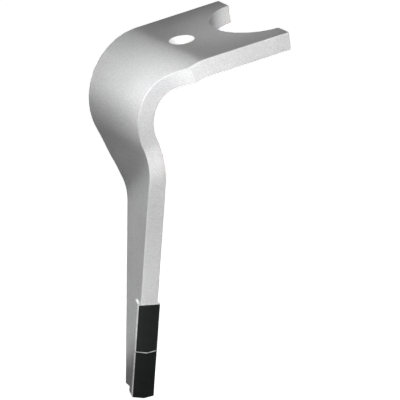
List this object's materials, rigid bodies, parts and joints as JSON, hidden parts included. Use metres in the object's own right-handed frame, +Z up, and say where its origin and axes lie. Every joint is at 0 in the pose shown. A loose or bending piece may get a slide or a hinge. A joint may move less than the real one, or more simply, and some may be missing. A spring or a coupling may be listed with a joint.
{
  "type": "power harrow tine",
  "caption": "Forged power harrow tine: a flat mounting plate with pin hole and fork notch, bent down into a blade faced with brazed carbide wear tiles.",
  "frame": {"origin": "centre of the pin hole on the top face of the mounting plate", "axes": "+Z up along the pin hole, out of the plate's top face; +X along the plate to its forked end; -Y the leading side, which carries the wear tiles; the blade hangs down on the -X side"},
  "size_m": [0.164, 0.11, 0.2769],
  "materials": {
    "forged_steel": "shot-blasted forged steel with a satin sheen",
    "tungsten_carbide": "dark sintered carbide, smooth and matte",
    "silver_braze": "dull silver braze"
  },
  "bodies": {
    "root": {"tine_body": "forged_steel", "upper_carbide_tile": "tungsten_carbide", "lower_carbide_tile": "tungsten_carbide", "braze_joint": "silver_braze"}
  },
  "joints": []
}
